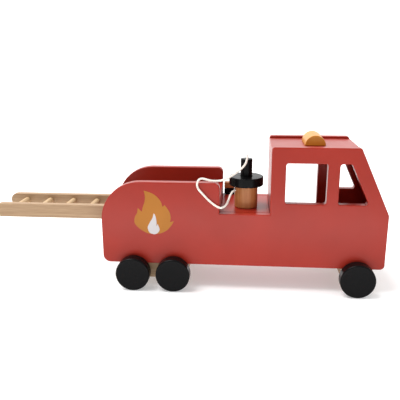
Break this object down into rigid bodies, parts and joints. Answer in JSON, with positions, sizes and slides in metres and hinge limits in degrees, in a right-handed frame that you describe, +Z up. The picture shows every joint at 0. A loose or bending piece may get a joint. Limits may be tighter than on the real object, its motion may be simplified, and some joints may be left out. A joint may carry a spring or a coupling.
{
  "type": "toy fire engine",
  "caption": "Wooden toy fire engine with an open cab, a roof beacon, a ladder that tips up from the rear bay, and a cord hose on a deck drum.",
  "frame": {"origin": "on the ground, midway between the ladder's tip and the nose, and midway between the wheels", "axes": "+X forward to the nose, +Y to the far side, away from the hose cord's side, +Z up"},
  "size_m": [0.429, 0.117, 0.1646],
  "materials": {
    "red_paint": "satin red paint over beech plywood",
    "black_paint": "satin black paint over turned wood",
    "ochre_paint": "satin ochre paint over wood",
    "beech": "natural, fine-sanded",
    "oiled_wood": "warm brown oiled wood",
    "cotton": "twisted undyed cotton",
    "zinc": "zinc plated"
  },
  "bodies": {
    "truck": {"near_side_panel": "red_paint", "far_side_panel": "red_paint", "base_board": "red_paint", "tail_board": "red_paint", "ladder_bed": "red_paint", "bulkhead": "red_paint", "deck_board": "red_paint", "cab_back_panel": "red_paint", "cab_floor": "red_paint", "roof_panel": "red_paint", "windscreen_panel": "red_paint", "nose_panel": "red_paint", "drum_flange": "black_paint", "hose_rest_foot": "black_paint", "beacon_light": "ochre_paint", "rear_axle_block": "beech", "front_axle_block": "beech", "ladder_pivot": "beech", "hose_drum": "oiled_wood", "hose_rest_block": "oiled_wood", "hose_cord": "cotton", "drum_screw": "zinc", "rear_axle_block_screw_1": "zinc", "rear_axle_block_screw_2": "zinc", "rear_axle_block_screw_3": "zinc", "rear_axle_block_screw_4": "zinc", "front_axle_block_screw_1": "zinc", "front_axle_block_screw_2": "zinc"},
    "rear_wheels": {"rear_axle": "beech", "rear_wheel_near": "black_paint", "rear_wheel_far": "black_paint"},
    "middle_wheels": {"middle_axle": "beech", "middle_wheel_near": "black_paint", "middle_wheel_far": "black_paint"},
    "front_wheels": {"front_axle": "beech", "front_wheel_near": "black_paint", "front_wheel_far": "black_paint"},
    "ladder": {"ladder_rail_near": "beech", "ladder_rail_far": "beech", "ladder_rung_1": "beech", "ladder_rung_2": "beech", "ladder_rung_3": "beech", "ladder_rung_4": "beech", "ladder_rung_5": "beech", "ladder_rung_6": "beech", "ladder_rung_7": "beech", "ladder_rung_8": "beech"},
    "nozzle": {"hose_nozzle": "black_paint"}
  },
  "joints": [
    {"name": "rear_wheels_spin", "type": "hinge", "parent": "truck", "child": "rear_wheels", "pos_m": [-0.052, 0, 0.01841], "axis": [0, 1, 0], "continuous": true},
    {"name": "middle_wheels_spin", "type": "hinge", "parent": "truck", "child": "middle_wheels", "pos_m": [-0.0085, 0, 0.01841], "axis": [0, 1, 0], "continuous": true},
    {"name": "front_wheels_spin", "type": "hinge", "parent": "truck", "child": "front_wheels", "pos_m": [0.1858, 0, 0.01841], "axis": [0, 1, 0], "continuous": true},
    {"name": "ladder_tilt", "type": "hinge", "parent": "truck", "child": "ladder", "pos_m": [0.023, 0, 0.07805], "axis": [0, 1, 0], "range_deg": [0, 75]},
    {"name": "nozzle_lift", "type": "slide", "parent": "truck", "child": "nozzle", "axis": [0, 0, 1], "range_m": [0, 0.03], "deforming": ["hose_cord"]}
  ]
}
